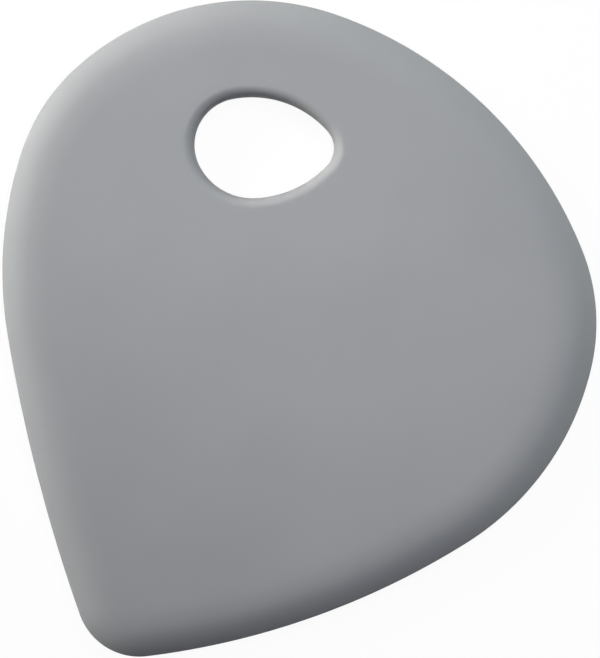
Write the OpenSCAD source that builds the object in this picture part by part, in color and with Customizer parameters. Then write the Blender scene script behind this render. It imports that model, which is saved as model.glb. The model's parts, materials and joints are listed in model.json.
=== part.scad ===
// Bowl scraper lying on its back, with the finger hole towards +Y.
// A stiff plate is sealed between two soft halves that meet half way up the rim.
// The outline and the finger hole are closed rows of arcs, each arc tangent to the
// next. Every arc has a radius and a turn, and two radii of each row are worked out
// so that the row closes. Directions are in degrees, counter-clockwise from +X.
// The origin is below the middle of the outline, on the flat back face.

/* [Outline] */
// Direction that the rim faces where the right side starts
outline_start_angle = 347.5; // [340:0.5:354]
// Radius of the right side
right_r = 37; // [30:0.5:44]
// Turn of the right side
right_angle = 34; // [28:0.5:40]
// Radius of the long upper right side
upper_r = 78; // [66:0.5:90]
// Turn of the long upper right side
upper_angle = 49; // [42:0.5:56]
// Radius of the top
top_r = 49.5; // [42:0.5:57]
// Turn of the top
top_angle = 62; // [54:0.5:70]
// Radius of the upper left corner
corner_r = 37; // [30:0.5:44]
// Turn of the upper left corner
corner_angle = 29.5; // [24:0.5:35]
// Radius of the left side
left_r = 73.5; // [62:0.5:85]
// Turn of the left side
left_angle = 27.5; // [22:0.5:33]
// Turn of the nearly straight flank above the tip
flank_angle = 10; // [8:0.5:13]
// Radius of the tip
tip_r = 12; // [11.5:0.5:18]
// Turn of the tip
tip_angle = 77.5; // [70:0.5:85]
// Turn of the long lower side
bottom_angle = 25; // [21:0.5:29]
// Radius of the lower right shoulder, which takes the rest of the turn
shoulder_r = 53.5; // [46:0.5:61]

/* [Section] */
// Thickness between the two flat faces
thickness = 6.4; // [5:0.1:9]
// Width of the rolled edge, from the rim to the flat face
roll_w = 8; // [5:0.5:11]
// Radius of the lip at the rim
lip_r = 0.9; // [0.5:0.1:1.5]

/* [Finger hole] */
// Distance from the top of the outline down to the middle of the hole
hole_drop = 28; // [24:0.5:36]
// Distance of the middle of the hole to the left of the centre line
hole_left = 6.7; // [-6:0.1:10]
// Direction that the hole bulges in where its narrow right end starts
hole_start_angle = 316; // [300:0.5:325]
// Radius of the narrow right end
end_r = 4.9; // [3.5:0.1:6]
// Turn of the narrow right end
end_angle = 86; // [78:0.5:97]
// Turn of the upper side
roof_angle = 59; // [53:0.5:71]
// Turn of the wide left end
lobe_angle = 108; // [98:0.5:120]
// Radius of the bottom
sill_r = 11.3; // [9.3:0.1:13.5]
// Turn of the bottom
sill_angle = 63; // [57:0.5:74]
// Radius of the lower right side, which takes the rest of the turn
slope_r = 20; // [16:0.5:31]
// Radius of the rounded rim round the hole
rim_r = 2; // [1:0.1:2.5]

/* [Plate] */
// Thickness of the plate
plate_t = 2; // [1:0.1:3]
// Width of soft edge outside the plate
soft_edge = 7; // [5:0.5:9]
// Width of soft lining between the finger hole and the plate
lining_w = 3.5; // [3:0.5:5]
// Number of anchor holes round the plate
anchors = 14; // [8:1:18]
// Diameter of an anchor hole, and of the plug that fills it
anchor_d = 4; // [2.5:0.5:4.5]
// Distance from the plate's edge to the middle of an anchor hole
anchor_edge = 4; // [3:0.5:4.5]

/* [Hidden] */

// Points round a ring
ring_n = 144;
// Steps along the lip, the roll and the rim of the hole
lip_steps = 3;
roll_steps = 7;
rim_steps = 5;
// Depth by which a plug runs into the skin that it grows from
plug_root = 0.5;
// Distance by which a cut runs past a face
cut = 1;
// Height of the plane in which the two halves meet
mid_z = thickness / 2;

function dir(a) = [cos(a), sin(a)];
function wrap(a) = a - 360 * floor(a / 360);
function cross_2d(a, b) = a[0] * b[1] - a[1] * b[0];
function total(v, n) = n < 1 ? 0 : v[n - 1] + total(v, n - 1);
function total_2d(v, n) = n < 1 ? [0, 0] : v[n - 1] + total_2d(v, n - 1);

// Directions at which the arcs meet, once round. The last arc takes the rest of the turn.
function meets(start, turns) =
    let (all = concat(turns, [360 - total(turns, len(turns))]))
    [for (k = [0 : len(all)]) start + total(all, k)];

// Chord of an arc with a radius of 1
function chord(angles, k) = dir(angles[k + 1]) - dir(angles[k]);

// Radii, with those numbered i and j, which are given as 0, worked out so that the row closes
function closed_radii(angles, radii, i, j) =
    let (
        arcs = [for (k = [0 : len(radii) - 1]) radii[k] * chord(angles, k)],
        gap = total_2d(arcs, len(arcs)),
        det = cross_2d(chord(angles, i), chord(angles, j)),
        radius_i = -cross_2d(gap, chord(angles, j)) / det,
        radius_j = -cross_2d(chord(angles, i), gap) / det
    )
    [for (k = [0 : len(radii) - 1]) k == i ? radius_i : k == j ? radius_j : radii[k]];

// Centres of the arcs. Each centre lies on the line from the last centre to the meeting point.
function centres(angles, radii) =
    let (steps = [for (k = [1 : len(radii) - 1]) (radii[k - 1] - radii[k]) * dir(angles[k])])
    [for (k = [0 : len(radii) - 1]) total_2d(steps, k)];

// A curve is its meeting directions, radii and centres
function arc_number(curve, a) =
    let (turned = wrap(a - curve[0][0]))
    max([for (k = [0 : len(curve[1]) - 1]) if (curve[0][k] - curve[0][0] <= turned) k]);

// Point where the curve, moved outwards by a distance, faces direction a
function point_on(curve, a, out = 0) =
    let (k = arc_number(curve, a))
    curve[2][k] + (curve[1][k] + out) * dir(a);

// Middle of the box round a curve
function middle(curve) = [
    (point_on(curve, 0)[0] + point_on(curve, 180)[0]) / 2,
    (point_on(curve, 90)[1] + point_on(curve, 270)[1]) / 2
];

// Curve of a row of arcs, moved so that the middle of its box is at a point
function curve_at(start, turns, open_radii, i, j, at) =
    let (
        angles = meets(start, turns),
        radii = closed_radii(angles, open_radii, i, j),
        raw = [angles, radii, centres(angles, radii)],
        shift = at - middle(raw)
    )
    [angles, radii, [for (c = raw[2]) c + shift]];

outline = curve_at(
    outline_start_angle,
    [right_angle, upper_angle, top_angle, corner_angle, left_angle, flank_angle, tip_angle, bottom_angle],
    [right_r, upper_r, top_r, corner_r, left_r, 0, tip_r, 0, shoulder_r],
    5, 7, [0, 0]
);
hole_y = point_on(outline, 90)[1] - hole_drop;
hole = curve_at(
    hole_start_angle,
    [end_angle, roof_angle, lobe_angle, sill_angle],
    [end_r, 0, 0, sill_r, slope_r],
    1, 2, [-hole_left, hole_y]
);

// The rolled edge is an arc that is tangent to the flat face and to the lip
roll_r = (pow(roll_w - lip_r, 2) + pow(mid_z, 2) - pow(lip_r, 2)) / (2 * (mid_z - lip_r));
roll_slope = atan((roll_w - lip_r) / (roll_r - mid_z));

// Section of the edge as distances in from the outline and heights above the middle plane
lip = [
    for (k = [0 : lip_steps])
    let (a = (90 - roll_slope) * k / lip_steps)
    [lip_r * (1 - cos(a)), lip_r * sin(a)]
];
roll = [
    for (k = [1 : roll_steps])
    let (a = roll_slope * (1 - k / roll_steps))
    [roll_w - roll_r * sin(a), mid_z - roll_r * (1 - cos(a))]
];
// Section of the hole's rim as distances out from the hole and heights
rim = [
    for (k = [0 : rim_steps])
    let (a = 90 * k / rim_steps)
    [rim_r * (1 - sin(a)), mid_z - rim_r * (1 - cos(a))]
];

function ring(curve, out, z) = [
    for (k = [0 : ring_n - 1])
    let (p = point_on(curve, k * 360 / ring_n, out))
    [p[0], p[1], z]
];
function flat_ring(curve, out) = [for (p = ring(curve, out, 0)) [p[0], p[1]]];

// Closed solid whose section is a loop of rings, each joined to the next
module ring_solid(rings) {
    count = len(rings);
    polyhedron(
        points = [for (r = rings) for (p = r) p],
        faces = [
            for (j = [0 : count - 1], k = [0 : ring_n - 1])
            let (next_j = (j + 1) % count, next_k = (k + 1) % ring_n)
            [j * ring_n + k, next_j * ring_n + k, next_j * ring_n + next_k, j * ring_n + next_k]
        ],
        convexity = 6
    );
}

// Middles of the anchor holes, at equal steps along the outline and moved in from it
arc_lengths = [
    for (k = [0 : len(outline[1]) - 1]) outline[1][k] * (outline[0][k + 1] - outline[0][k])
];
function facing_at(length, k = 0) =
    length <= arc_lengths[k] || k == len(arc_lengths) - 1
    ? outline[0][k] + length / outline[1][k]
    : facing_at(length - arc_lengths[k], k + 1);
anchor_spots = [
    for (k = [0 : anchors - 1])
    let (along = total(arc_lengths, len(arc_lengths)) * (k + 0.5) / anchors)
    point_on(outline, facing_at(along), -(soft_edge + anchor_edge))
];

// Half of the soft body above the middle plane, with a pocket for half of the plate
module skin_half() {
    edge_rings = [for (s = concat(lip, roll)) ring(outline, -s[0], s[1])];
    rim_rings = [for (s = rim) ring(hole, s[0], s[1])];
    pocket_rings = [
        ring(hole, 0, 0),
        ring(hole, lining_w, 0),
        ring(hole, lining_w, plate_t / 2),
        ring(outline, -soft_edge, plate_t / 2),
        ring(outline, -soft_edge, 0)
    ];
    ring_solid(concat(edge_rings, rim_rings, pocket_rings));
    for (spot = anchor_spots)
        translate([spot[0], spot[1], 0])
            cylinder(d = anchor_d, h = plate_t / 2 + plug_root, $fn = 32);
}

module front_skin() {
    color("#989b9f")
        translate([0, 0, mid_z])
            skin_half();
}

module back_skin() {
    color("#8b8e92")
        translate([0, 0, mid_z])
            mirror([0, 0, 1])
                skin_half();
}

// Stiff plate with anchor holes, cut clear of the finger hole and its lining
module core_plate() {
    color("#d9d8d0")
        difference() {
            translate([0, 0, mid_z - plate_t / 2])
                linear_extrude(plate_t)
                    difference() {
                        polygon(flat_ring(outline, -soft_edge));
                        polygon(flat_ring(hole, lining_w));
                    }
            for (spot = anchor_spots)
                translate([spot[0], spot[1], mid_z - plate_t / 2 - cut])
                    cylinder(d = anchor_d, h = plate_t + 2 * cut, $fn = 32);
        }
}

front_skin();
back_skin();
core_plate();
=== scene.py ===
import json
import math

import bmesh
import bpy
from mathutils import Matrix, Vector

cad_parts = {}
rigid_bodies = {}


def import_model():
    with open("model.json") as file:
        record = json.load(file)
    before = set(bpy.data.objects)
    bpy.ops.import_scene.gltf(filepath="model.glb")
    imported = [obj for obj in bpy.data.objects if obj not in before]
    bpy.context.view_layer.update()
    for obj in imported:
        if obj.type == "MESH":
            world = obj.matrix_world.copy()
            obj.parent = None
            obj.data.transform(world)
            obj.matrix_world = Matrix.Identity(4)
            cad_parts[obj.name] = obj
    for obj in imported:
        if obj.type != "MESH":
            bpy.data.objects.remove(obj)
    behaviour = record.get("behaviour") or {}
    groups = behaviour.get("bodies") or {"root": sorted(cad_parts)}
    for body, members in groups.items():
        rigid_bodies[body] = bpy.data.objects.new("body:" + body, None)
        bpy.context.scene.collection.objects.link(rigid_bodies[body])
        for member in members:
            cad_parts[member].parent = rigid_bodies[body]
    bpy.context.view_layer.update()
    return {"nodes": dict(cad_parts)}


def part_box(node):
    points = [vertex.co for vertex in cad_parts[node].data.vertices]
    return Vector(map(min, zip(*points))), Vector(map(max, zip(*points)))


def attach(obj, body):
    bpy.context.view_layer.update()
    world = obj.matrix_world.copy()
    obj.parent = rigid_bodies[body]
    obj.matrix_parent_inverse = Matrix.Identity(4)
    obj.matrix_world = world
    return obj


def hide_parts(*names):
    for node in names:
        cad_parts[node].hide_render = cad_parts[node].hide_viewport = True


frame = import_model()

mm = 0.001
near = 0.01 * mm         # closer than this counts as the same place
scene = bpy.context.scene
scene.view_settings.view_transform = "Standard"

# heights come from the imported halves: they meet half way up, at midZ
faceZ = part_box("front_skin")[1].z
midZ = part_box("front_skin")[0].z
halfHeight = (faceZ - midZ) / mm


# small helpers

def direction(angle):
    return Vector((math.cos(math.radians(angle)), math.sin(math.radians(angle)), 0))


def deselectAll():
    if bpy.context.mode != "OBJECT":
        bpy.ops.object.mode_set(mode="OBJECT")
    bpy.ops.object.select_all(action="DESELECT")


def activate(piece):
    deselectAll()
    piece.select_set(True)
    bpy.context.view_layer.objects.active = piece


def pickEdges(piece, wanted):
    # selects the open edges of the mesh being edited for which wanted() says yes
    bpy.ops.mesh.select_mode(type="EDGE")
    bpy.ops.mesh.select_all(action="DESELECT")
    mesh = bmesh.from_edit_mesh(piece.data)
    for edge in mesh.edges:
        if len(edge.link_faces) < 2 and all(wanted(v.co) for v in edge.verts):
            edge.select_set(True)
    bmesh.update_edit_mesh(piece.data)


# the outlines are closed rows of arcs, each tangent to the next; all lengths in millimetres

def closedRow(start, turns, radii):
    # a radius of None is left open, and the two open ones are worked out so that the row closes
    angles = [start]
    for turn in turns + [360 - sum(turns)]:
        angles.append(angles[-1] + turn)
    chords = [direction(b) - direction(a) for a, b in zip(angles, angles[1:])]
    first, second = [k for k, radius in enumerate(radii) if radius is None]
    gap = sum((chord * radius for chord, radius in zip(chords, radii) if radius), Vector())
    det = chords[first].cross(chords[second]).z
    solved = list(radii)
    solved[first] = -gap.cross(chords[second]).z / det
    solved[second] = -chords[first].cross(gap).z / det
    centres = [Vector()]
    for k in range(1, len(solved)):
        centres.append(centres[-1] + direction(angles[k]) * (solved[k - 1] - solved[k]))
    return {"angles": angles, "radii": solved, "centres": centres}


def pointOn(row, angle, out=0):
    # the point where the row, moved outwards, faces that way
    turned = (angle - row["angles"][0]) % 360
    k = max(n for n in range(len(row["radii"])) if row["angles"][n] - row["angles"][0] <= turned)
    return row["centres"][k] + direction(angle) * (row["radii"][k] + out)


def moveRow(row, place):
    middle = Vector((
        (pointOn(row, 0).x + pointOn(row, 180).x) / 2,
        (pointOn(row, 90).y + pointOn(row, 270).y) / 2,
        0,
    ))
    row["centres"] = [centre + place - middle for centre in row["centres"]]
    return row


def alongRow(row, share):
    # the direction faced after that share of the row's length
    lengths = [
        radius * math.radians(b - a)
        for radius, a, b in zip(row["radii"], row["angles"], row["angles"][1:])
    ]
    left = share * sum(lengths)
    for k, length in enumerate(lengths):
        if left <= length:
            return row["angles"][k] + math.degrees(left / row["radii"][k])
        left -= length
    return row["angles"][-1]


scraperShape = {
    "start": 347.5,              # direction the rim faces where the right side starts
    "turns": [34, 49, 62, 29.5, 27.5, 10, 77.5, 25],
    "radii": [37, 78, 49.5, 37, 73.5, None, 12, None, 53.5],
    "holeStart": 316,
    "holeTurns": [86, 59, 108, 63],
    "holeRadii": [4.9, None, None, 11.3, 20],
    "holeDrop": 28,              # from the top of the outline down to the middle of the hole
    "holeLeft": 6.7,
}
outline = moveRow(
    closedRow(scraperShape["start"], scraperShape["turns"], scraperShape["radii"]), Vector()
)
holeMiddle = Vector((
    -scraperShape["holeLeft"], pointOn(outline, 90).y - scraperShape["holeDrop"], 0
))
hole = moveRow(
    closedRow(scraperShape["holeStart"], scraperShape["holeTurns"], scraperShape["holeRadii"]),
    holeMiddle,
)
print("outline", [round(radius, 2) for radius in outline["radii"]])
print("finger hole", [round(radius, 2) for radius in hole["radii"]])


def startMesh(name):
    # an empty mesh, left open for editing
    deselectAll()
    bpy.ops.mesh.primitive_plane_add(size=mm)
    piece = bpy.context.object
    piece.name = name
    piece.data.name = name
    bpy.ops.object.mode_set(mode="EDIT")
    bpy.ops.mesh.select_all(action="SELECT")
    bpy.ops.mesh.delete(type="VERT")
    return piece


# a pen draws a section from one point: inset is the distance from the row into the
# material, height the distance above the plane where the halves meet

def startPen(row, side, inset, height):
    # side is -1 where the material lies inside the row, and 1 where it lies outside
    pen = {"row": row, "side": side, "inset": inset, "height": height}
    pen["out"] = direction(row["angles"][0])
    bpy.ops.mesh.primitive_plane_add(size=mm)
    bpy.ops.mesh.select_mode(type="VERT")
    bpy.ops.mesh.merge(type="CENTER")
    bpy.ops.transform.translate(value=penPlace(pen, inset, height))
    return pen


def penPlace(pen, inset, height):
    place = pointOn(pen["row"], pen["row"]["angles"][0], pen["side"] * inset) * mm
    return place + Vector((0, 0, midZ + height * mm))


def drawLine(pen, inset, height):
    here = penPlace(pen, pen["inset"], pen["height"])
    there = penPlace(pen, inset, height)
    bpy.ops.mesh.extrude_region_move(TRANSFORM_OT_translate={"value": there - here})
    pen["inset"], pen["height"] = inset, height


def drawArc(pen, radius, fromTilt, toTilt, steps):
    # tilt is how far the surface leans from level; a hollow arc leans more and more
    hollow = 1 if toTilt > fromTilt else -1
    sine, cosine = math.sin(math.radians(fromTilt)), math.cos(math.radians(fromTilt))
    inset = pen["inset"] - hollow * radius * sine
    height = pen["height"] + hollow * radius * cosine
    axis = Vector((0, 0, 1)).cross(pen["out"])
    bpy.ops.mesh.spin(
        steps=steps,
        angle=math.radians(toTilt - fromTilt) * pen["side"],
        center=penPlace(pen, inset, height),
        axis=axis,
    )
    sine, cosine = math.sin(math.radians(toTilt)), math.cos(math.radians(toTilt))
    pen["inset"] = inset + hollow * radius * sine
    pen["height"] = height - hollow * radius * cosine


def spinRound(row, longest, widest):
    # turns the selected section about each arc's centre in turn, until the row is closed
    for centre, radius, a, b in zip(
        row["centres"], row["radii"], row["angles"], row["angles"][1:]
    ):
        length = radius * math.radians(b - a)
        steps = math.ceil(max(length / longest, (b - a) / widest))
        bpy.ops.mesh.spin(
            steps=steps, angle=-math.radians(b - a), center=centre * mm, axis=(0, 0, 1)
        )


# the silicone skin, one half at a time

skin = {
    "seam": 0.05,                # tiny bevel on either side of the parting line
    "lipRadius": 0.7,
    "rollTilt": 42,              # steepest lean of the rolled edge, where it meets the lip
    "tailTilt": 8,               # lean at which the roll eases into the face
    "tailRadius": 26,
    "holeRimRadius": 1.8,
    "holeWallTilt": 66,          # lean at which the hole's rim turns into its bulging wall
    "flatMargin": 0.9,           # flat ring that steadies the shading of the face
    "softEdge": 7,               # width of soft edge outside the plate
    "lining": 3.5,               # width of soft lining round the hole
    "plateThickness": 2,
    "anchors": 14,
    "anchorWidth": 4,
    "anchorEdge": 4,
    "longestStep": 1,            # spacing of the rings' points, in millimetres and degrees
    "widestStep": 1,
    "lipSteps": 6,               # steps of each arc of the section
    "rollSteps": 16,
    "tailSteps": 6,
    "wallSteps": 8,
    "rimSteps": 12,
    "plugPoints": 48,
    "sharpFrom": 40,             # edges that turn by more than this stay sharp, in degrees
}


def fallOver(radius, fromTilt, toTilt):
    # height that an arc of the section gains between two tilts
    return radius * (math.cos(math.radians(toTilt)) - math.cos(math.radians(fromTilt)))


def drawPartingFace(pen, depth):
    # from the pocket out along the plane where the halves meet, to the bevelled seam
    drawLine(pen, depth, 0)
    drawLine(pen, skin["seam"], 0)
    drawLine(pen, 0, skin["seam"])


def drawEdgeSection():
    pen = startPen(outline, -1, skin["softEdge"], skin["plateThickness"] / 2)
    drawPartingFace(pen, skin["softEdge"])
    drawArc(pen, skin["lipRadius"], 90, skin["rollTilt"], skin["lipSteps"])
    tailRise = fallOver(skin["tailRadius"], skin["tailTilt"], 0)
    rollRise = halfHeight - tailRise - pen["height"]
    rollRadius = rollRise / fallOver(1, skin["rollTilt"], skin["tailTilt"])
    drawArc(pen, rollRadius, skin["rollTilt"], skin["tailTilt"], skin["rollSteps"])
    drawArc(pen, skin["tailRadius"], skin["tailTilt"], 0, skin["tailSteps"])
    print("rolled edge", round(pen["inset"], 2), "mm wide, radius", round(rollRadius, 2))
    drawLine(pen, pen["inset"] + skin["flatMargin"], halfHeight)


def drawHoleSection():
    pen = startPen(hole, 1, skin["lining"], skin["plateThickness"] / 2)
    drawPartingFace(pen, skin["lining"])
    rimRise = fallOver(skin["holeRimRadius"], skin["holeWallTilt"], 0)
    wallRise = halfHeight - rimRise - pen["height"]
    wallRadius = wallRise / fallOver(1, 90, skin["holeWallTilt"])
    drawArc(pen, wallRadius, 90, skin["holeWallTilt"], skin["wallSteps"])
    drawArc(pen, skin["holeRimRadius"], skin["holeWallTilt"], 0, skin["rimSteps"])
    print("hole's rim", round(pen["inset"], 2), "mm wide, wall radius", round(wallRadius, 2))
    drawLine(pen, pen["inset"] + skin["flatMargin"], halfHeight)


def makeFrontHalf(name):
    piece = startMesh(name)
    drawEdgeSection()
    bpy.ops.mesh.select_all(action="SELECT")
    spinRound(outline, skin["longestStep"], skin["widestStep"])
    bpy.ops.mesh.select_all(action="DESELECT")
    drawHoleSection()
    bpy.ops.mesh.select_linked()
    spinRound(hole, skin["longestStep"], skin["widestStep"])
    bpy.ops.mesh.select_all(action="SELECT")
    bpy.ops.mesh.remove_doubles(threshold=near)
    # the flat face between the edge and the hole
    pickEdges(piece, lambda co: abs(co.z - faceZ) < near)
    bpy.ops.mesh.fill(use_beauty=True)
    # the roof of the plate's pocket, with a plug at each of the plate's anchor holes
    roofZ = midZ + skin["plateThickness"] / 2 * mm
    bpy.ops.mesh.select_all(action="DESELECT")
    for k in range(skin["anchors"]):
        facing = alongRow(outline, (k + 0.5) / skin["anchors"])
        spot = pointOn(outline, facing, -skin["softEdge"] - skin["anchorEdge"]) * mm
        bpy.ops.mesh.primitive_circle_add(
            vertices=skin["plugPoints"],
            radius=skin["anchorWidth"] / 2 * mm,
            location=(spot.x, spot.y, roofZ),
        )
    pickEdges(piece, lambda co: abs(co.z - roofZ) < near)
    bpy.ops.mesh.fill(use_beauty=True)
    pickEdges(piece, lambda co: abs(co.z - roofZ) < near)
    bpy.ops.mesh.extrude_region_move(
        TRANSFORM_OT_translate={"value": (0, 0, midZ - roofZ)}
    )
    bpy.ops.mesh.fill(use_beauty=True)
    bpy.ops.mesh.select_all(action="SELECT")
    bpy.ops.mesh.normals_make_consistent(inside=False)
    bpy.ops.object.mode_set(mode="OBJECT")
    bpy.ops.object.shade_smooth_by_angle(angle=math.radians(skin["sharpFrom"]))
    return piece


def makeBackHalf(front, name):
    # the same half turned over about the parting plane
    activate(front)
    bpy.ops.object.duplicate()
    piece = bpy.context.object
    piece.name = name
    piece.data.name = name
    bpy.ops.object.mode_set(mode="EDIT")
    bpy.ops.mesh.select_all(action="SELECT")
    bpy.ops.transform.resize(value=(1, 1, -1), center_override=(0, 0, midZ))
    bpy.ops.mesh.normals_make_consistent(inside=False)
    bpy.ops.object.mode_set(mode="OBJECT")
    return piece


def report(piece):
    # an open edge would be a hole in the mesh, so there should be none
    mesh = bmesh.new()
    mesh.from_mesh(piece.data)
    openEdges = sum(1 for edge in mesh.edges if len(edge.link_faces) != 2)
    triangles = sum(len(face.verts) - 2 for face in mesh.faces)
    print(
        piece.name, triangles, "triangles,", openEdges, "open edges,",
        round(mesh.calc_volume(signed=True) / mm ** 3), "mm3",
    )
    mesh.free()


frontHalf = makeFrontHalf("frontSilicone")
backHalf = makeBackHalf(frontHalf, "backSilicone")
report(frontHalf)
report(backHalf)


# materials

def newMaterial(name):
    material = bpy.data.materials.new(name)
    material.use_nodes = True
    nodes, links = material.node_tree.nodes, material.node_tree.links
    nodes.clear()
    output = nodes.new("ShaderNodeOutputMaterial")
    return material, nodes, links, output


def addSurface(nodes, links, output):
    surface = nodes.new("ShaderNodeBsdfPrincipled")
    links.new(surface.outputs["BSDF"], output.inputs["Surface"])
    coordinates = nodes.new("ShaderNodeTexCoord").outputs["Object"]
    return surface, coordinates


def noise(nodes, links, coordinates, pattern):
    # a pattern is the width of one blotch, in millimetres, and how finely it is broken up
    width, detail = pattern
    texture = nodes.new("ShaderNodeTexNoise")
    texture.inputs["Scale"].default_value = 1 / (width * mm)
    texture.inputs["Detail"].default_value = detail
    links.new(coordinates, texture.inputs["Vector"])
    return texture.outputs["Fac"]


def spread(nodes, links, value, found, wanted):
    # stretches the range that is found to the range that is wanted
    mapping = nodes.new("ShaderNodeMapRange")
    for socket, number in zip(("From Min", "From Max", "To Min", "To Max"), found + wanted):
        mapping.inputs[socket].default_value = number
    links.new(value, mapping.inputs["Value"])
    return mapping.outputs["Result"]


def calculate(nodes, links, operation, first, second=0.0):
    # each of first and second is a number, or an output that gives one
    step = nodes.new("ShaderNodeMath")
    step.operation = operation
    for socket, value in zip(step.inputs, (first, second)):
        if isinstance(value, float):
            socket.default_value = value
        else:
            links.new(value, socket)
    return step.outputs[0]


def blendColours(nodes, links, factor, first, second):
    # each of first and second is a colour, or an output that gives one
    mixer = nodes.new("ShaderNodeMix")
    mixer.data_type = "RGBA"
    links.new(factor, mixer.inputs["Factor"])
    for socket, colour in (("A", first), ("B", second)):
        target = [s for s in mixer.inputs if s.name == socket and s.type == "RGBA"][0]
        if isinstance(colour, tuple):
            target.default_value = (*colour, 1)
        else:
            links.new(colour, target)
    return [s for s in mixer.outputs if s.type == "RGBA"][0]


def addBump(nodes, links, height, distance, strength, under=None):
    bump = nodes.new("ShaderNodeBump")
    bump.inputs["Distance"].default_value = distance * mm
    bump.inputs["Strength"].default_value = strength
    links.new(height, bump.inputs["Height"])
    if under:
        links.new(under, bump.inputs["Normal"])
    return bump.outputs["Normal"]


siliconeLook = {
    "cloudLight": (0.297, 0.3115, 0.3185),
    "cloudDark": (0.285, 0.2995, 0.3065),
    "clouds": (24, 3),
    "cloudRange": (0.35, 0.65),  # part of the noise that runs from dark to light
    "speckTint": (0.325, 0.3385, 0.345),
    "specks": (0.5, 1),
    "speckRange": (0.68, 0.8),
    "speckShare": 0.5,
    "roughness": (0.5, 0.58),
    "patches": (8, 4),           # where it is smoother and where rougher
    "patchRange": (0.3, 0.7),
    "refraction": 1.41,
    "gloss": 0.15,
    "grain": (0.16, 2),
    "grainDepth": 0.004,         # in millimetres, like the depth of the ripples
    "ripples": (9, 1),
    "rippleDepth": 0.01,
    "bumpStrength": 0.5,
    "rimPolish": 0.06,           # the handled rim is smoother by this much
    "rimShare": 0.8,             # and that fades out this far up to the face
}


def makeSilicone(name, look):
    material, nodes, links, output = newMaterial(name)
    surface, coordinates = addSurface(nodes, links, output)
    clouds = noise(nodes, links, coordinates, look["clouds"])
    clouds = spread(nodes, links, clouds, look["cloudRange"], (0, 1))
    colour = blendColours(nodes, links, clouds, look["cloudDark"], look["cloudLight"])
    specks = noise(nodes, links, coordinates, look["specks"])
    specks = spread(nodes, links, specks, look["speckRange"], (0, look["speckShare"]))
    colour = blendColours(nodes, links, specks, colour, look["speckTint"])
    links.new(colour, surface.inputs["Base Color"])
    patches = noise(nodes, links, coordinates, look["patches"])
    patches = spread(nodes, links, patches, look["patchRange"], look["roughness"])
    # distance of the spot from the parting plane, which is greatest on the faces
    split = nodes.new("ShaderNodeSeparateXYZ")
    links.new(coordinates, split.inputs[0])
    height = calculate(nodes, links, "SUBTRACT", split.outputs["Z"], midZ)
    height = calculate(nodes, links, "ABSOLUTE", height)
    rimHeight = halfHeight * mm * look["rimShare"]
    polish = spread(nodes, links, height, (0, rimHeight), (look["rimPolish"], 0))
    roughness = calculate(nodes, links, "SUBTRACT", patches, polish)
    links.new(roughness, surface.inputs["Roughness"])
    grain = noise(nodes, links, coordinates, look["grain"])
    grain = addBump(nodes, links, grain, look["grainDepth"], look["bumpStrength"])
    ripples = noise(nodes, links, coordinates, look["ripples"])
    ripples = addBump(
        nodes, links, ripples, look["rippleDepth"], look["bumpStrength"], grain
    )
    links.new(ripples, surface.inputs["Normal"])
    surface.inputs["IOR"].default_value = look["refraction"]
    surface.inputs["Specular IOR Level"].default_value = look["gloss"]
    return material


nylonLook = {
    "light": (0.71, 0.70, 0.66),
    "dark": (0.66, 0.65, 0.61),
    "clouds": (14, 3),
    "cloudRange": (0.35, 0.65),
    "roughness": (0.42, 0.55),
    "patches": (5, 4),
    "patchRange": (0.3, 0.7),
    "refraction": 1.53,
    "grain": (0.3, 2),
    "grainDepth": 0.006,
    "bumpStrength": 0.5,
}


def makeNylon(name, look):
    material, nodes, links, output = newMaterial(name)
    surface, coordinates = addSurface(nodes, links, output)
    clouds = noise(nodes, links, coordinates, look["clouds"])
    clouds = spread(nodes, links, clouds, look["cloudRange"], (0, 1))
    colour = blendColours(nodes, links, clouds, look["dark"], look["light"])
    links.new(colour, surface.inputs["Base Color"])
    patches = noise(nodes, links, coordinates, look["patches"])
    patches = spread(nodes, links, patches, look["patchRange"], look["roughness"])
    links.new(patches, surface.inputs["Roughness"])
    grain = noise(nodes, links, coordinates, look["grain"])
    grain = addBump(nodes, links, grain, look["grainDepth"], look["bumpStrength"])
    links.new(grain, surface.inputs["Normal"])
    surface.inputs["IOR"].default_value = look["refraction"]
    return material


silicone = makeSilicone("satinGreySilicone", siliconeLook)
for half in (frontHalf, backHalf):
    half.data.materials.clear()
    half.data.materials.append(silicone)
plate = frame["nodes"]["core_plate"]
plate.data.materials.clear()
plate.data.materials.append(makeNylon("naturalNylon", nylonLook))

for half, node, slot in (
    (frontHalf, "front_skin", "front_silicone"),
    (backHalf, "back_skin", "back_silicone"),
):
    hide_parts(node)
    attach(half, "root")
print("pieces dressed")


# floor, background and light

studio = {
    "floorSize": 4,
    "floorColour": (0.5, 0.5, 0.5),
    "paperColour": (0.92, 0.92, 0.92),
    "paperGlow": 0.95,           # share of the floor that shows plain white to the camera
    "skyColour": (0, 0, 0),
}


def seenDirectly(nodes, links):
    # 1 for rays from the camera, from glossy surfaces and through clear ones
    path = nodes.new("ShaderNodeLightPath")
    total = path.outputs["Is Camera Ray"]
    for name in ("Is Glossy Ray", "Is Transmission Ray"):
        total = calculate(nodes, links, "MAXIMUM", total, path.outputs[name])
    return total


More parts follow.
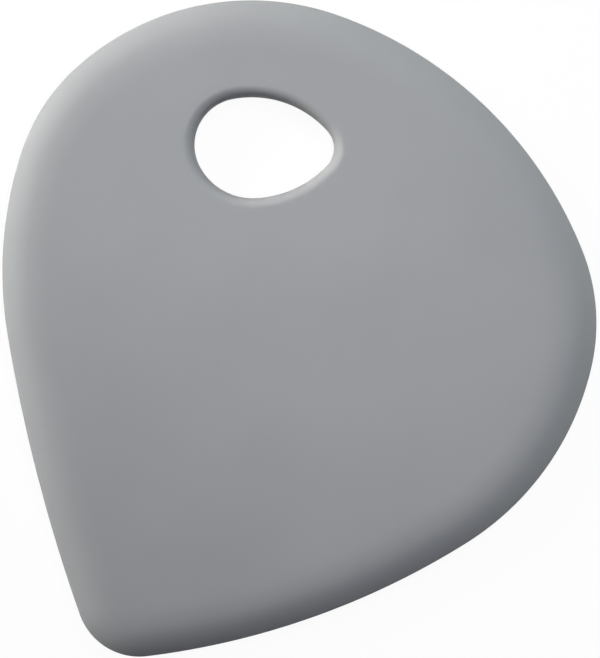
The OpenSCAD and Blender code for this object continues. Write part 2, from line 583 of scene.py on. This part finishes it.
def makeFloor():
    deselectAll()
    bpy.ops.mesh.primitive_plane_add(size=studio["floorSize"], location=(0, 0, 0))
    floor = bpy.context.object
    floor.name = "floor"
    material, nodes, links, output = newMaterial("paleFloor")
    # seen directly it is white paper that keeps the shadow, and it throws back less light
    dimFloor = nodes.new("ShaderNodeBsdfDiffuse")
    dimFloor.inputs["Color"].default_value = (*studio["floorColour"], 1)
    paper = nodes.new("ShaderNodeBsdfDiffuse")
    paper.inputs["Color"].default_value = (*studio["paperColour"], 1)
    glow = nodes.new("ShaderNodeEmission")
    glow.inputs["Color"].default_value = (1, 1, 1, 1)
    whitePaper = nodes.new("ShaderNodeMixShader")
    whitePaper.inputs[0].default_value = studio["paperGlow"]
    links.new(paper.outputs[0], whitePaper.inputs[1])
    links.new(glow.outputs[0], whitePaper.inputs[2])
    mixer = nodes.new("ShaderNodeMixShader")
    links.new(seenDirectly(nodes, links), mixer.inputs[0])
    links.new(dimFloor.outputs[0], mixer.inputs[1])
    links.new(whitePaper.outputs[0], mixer.inputs[2])
    links.new(mixer.outputs[0], output.inputs["Surface"])
    floor.data.materials.append(material)


def makeSky():
    sky = bpy.data.worlds.new("sky")
    sky.use_nodes = True
    nodes, links = sky.node_tree.nodes, sky.node_tree.links
    nodes.clear()
    output = nodes.new("ShaderNodeOutputWorld")
    dim = nodes.new("ShaderNodeBackground")
    dim.inputs["Color"].default_value = (*studio["skyColour"], 1)
    white = nodes.new("ShaderNodeBackground")
    white.inputs["Color"].default_value = (1, 1, 1, 1)
    mixer = nodes.new("ShaderNodeMixShader")
    links.new(seenDirectly(nodes, links), mixer.inputs[0])
    links.new(dim.outputs[0], mixer.inputs[1])
    links.new(white.outputs[0], mixer.inputs[2])
    links.new(mixer.outputs[0], output.inputs["Surface"])
    scene.world = sky


# around is the side that the light comes from, counted from the right, and above its height,
# both in degrees. Distance and size are in metres. Spread is the opening of the beam in
# degrees, and aim how far up the picture it points, in millimetres. The keys are a little
# warm, the low right one a little green and the high ones a little cool, so that together
# they leave the face as it is.
softboxes = {
    "keyUpperLeft": {
        "around": 140, "above": 15, "distance": 1.3, "size": (1, 0.45), "watts": 5.7,
        "colour": (1, 0.94, 0.845), "spread": 180, "aim": 0,
    },
    "keyLeft": {
        "around": 165, "above": 6, "distance": 1.3, "size": (0.85, 0.22), "watts": 11.6,
        "colour": (1, 0.97, 0.95), "spread": 180, "aim": 0,
    },
    "keyClose": {
        "around": 150, "above": 25, "distance": 0.5, "size": (0.25, 0.12), "watts": 0.092,
        "colour": (1, 0.948, 0.87), "spread": 60, "aim": 20,
    },
    "holeLight": {
        "around": 150, "above": 25, "distance": 0.5, "size": (0.1, 0.08), "watts": 0.02,
        "colour": (1, 0.948, 0.87), "spread": 25, "aim": 30,
    },
    "lowRight": {
        "around": 25, "above": 3, "distance": 2, "size": (1, 0.2), "watts": 11.5,
        "colour": (0.93, 1, 0.81), "spread": 180, "aim": 0,
    },
    "highRight": {
        "around": 55, "above": 60, "distance": 0.4, "size": (0.25, 0.15), "watts": 0.114,
        "colour": (0.92, 0.918, 1), "spread": 60, "aim": 20,
    },
    "overhead": {
        "around": 90, "above": 80, "distance": 0.3, "size": (0.2, 0.2), "watts": 0.094,
        "colour": (0.92, 0.918, 1), "spread": 90, "aim": 20,
    },
}


def makeSoftbox(name, box):
    lamp = bpy.data.lights.new(name, "AREA")
    lamp.shape = "RECTANGLE"
    lamp.size, lamp.size_y = box["size"]
    lamp.energy = box["watts"]
    lamp.color = box["colour"]
    lamp.spread = math.radians(box["spread"])
    holder = bpy.data.objects.new(name, lamp)
    scene.collection.objects.link(holder)
    rise = math.radians(box["above"])
    away = direction(box["around"]) * math.cos(rise) + Vector((0, 0, math.sin(rise)))
    target = Vector((0, box["aim"] * mm, midZ))
    holder.location = away * box["distance"] + target
    holder.rotation_euler = away.to_track_quat("Z", "Y").to_euler()
    holder.visible_camera = False


makeFloor()
makeSky()
for name, box in softboxes.items():
    makeSoftbox(name, box)
print("studio lit by", len(softboxes), "softboxes")


# the camera looks straight down, with the hole towards the top of the picture

shot = {
    "distance": 0.6,             # from the parting plane, in metres
    "frameHeight": 125.02,       # height of the picture at the parting plane, in millimetres
    "aim": (0.108, -0.093),      # place under the camera, in millimetres
    "sensor": 36,
    "clip": (0.01, 20),          # in metres
}
camera = bpy.data.objects.new("camera", bpy.data.cameras.new("camera"))
scene.collection.objects.link(camera)
camera.location = (shot["aim"][0] * mm, shot["aim"][1] * mm, midZ + shot["distance"])
camera.data.sensor_width = shot["sensor"]
camera.data.lens = shot["sensor"] * shot["distance"] / (shot["frameHeight"] * mm)
camera.data.clip_start, camera.data.clip_end = shot["clip"]
scene.camera = camera
